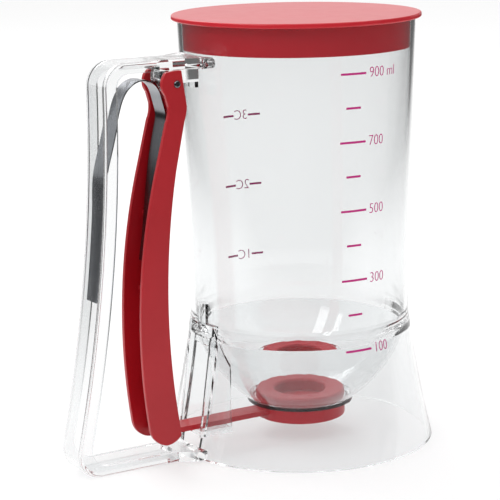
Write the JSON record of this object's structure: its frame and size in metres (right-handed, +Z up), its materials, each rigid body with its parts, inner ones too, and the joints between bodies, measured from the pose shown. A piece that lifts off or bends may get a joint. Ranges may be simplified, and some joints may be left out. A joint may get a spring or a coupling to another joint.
{
  "type": "pancake batter dispenser",
  "caption": "Clear measuring vessel on a flared skirt with a squeeze handle: a red trigger on a leaf spring draws a slide valve from under the sealed outlet, under a lift-off plug lid.",
  "frame": {"origin": "centre of the skirt's foot ring, on the table", "axes": "+Z up along the vessel's axis, the handle stands out along -X, and +Y is the side with the cup scale"},
  "size_m": [0.1709, 0.116, 0.185],
  "materials": {
    "clear": "clear moulded plastic, polished",
    "red_plastic": "glossy moulded plastic",
    "seal": "soft silicone rubber, satin",
    "steel": "bright rolled strip",
    "print": "printed ink"
  },
  "bodies": {
    "base": {"vessel": "clear", "outlet_seal": "seal", "handle": "clear", "pivot_pin": "steel", "leaf_spring": "steel", "ml_scale": "print", "cup_scale": "print"},
    "trigger": {"trigger": "red_plastic"},
    "valve": {"valve_slider": "red_plastic"},
    "lid": {"lid": "red_plastic"}
  },
  "joints": [
    {"name": "trigger_pivot", "type": "hinge", "parent": "base", "child": "trigger", "pos_m": [-0.0631, 0, 0.1602], "axis": [0, 1, 0], "range_deg": [0, 8.12], "stiffness_Nm_per_rad": 3, "springref_deg": -3.72, "deforming": ["leaf_spring"]},
    {"name": "valve_slide", "type": "slide", "parent": "base", "child": "valve", "axis": [-1, 0, 0], "range_m": [0, 0.0204]},
    {"name": "lid_lift", "type": "slide", "parent": "base", "child": "lid", "axis": [0, 0, 1], "range_m": [0, 0.04]}
  ],
  "couplings": [
    {"joint": "valve_slide", "follows": "trigger_pivot", "m_per_rad": 0.1433}
  ]
}
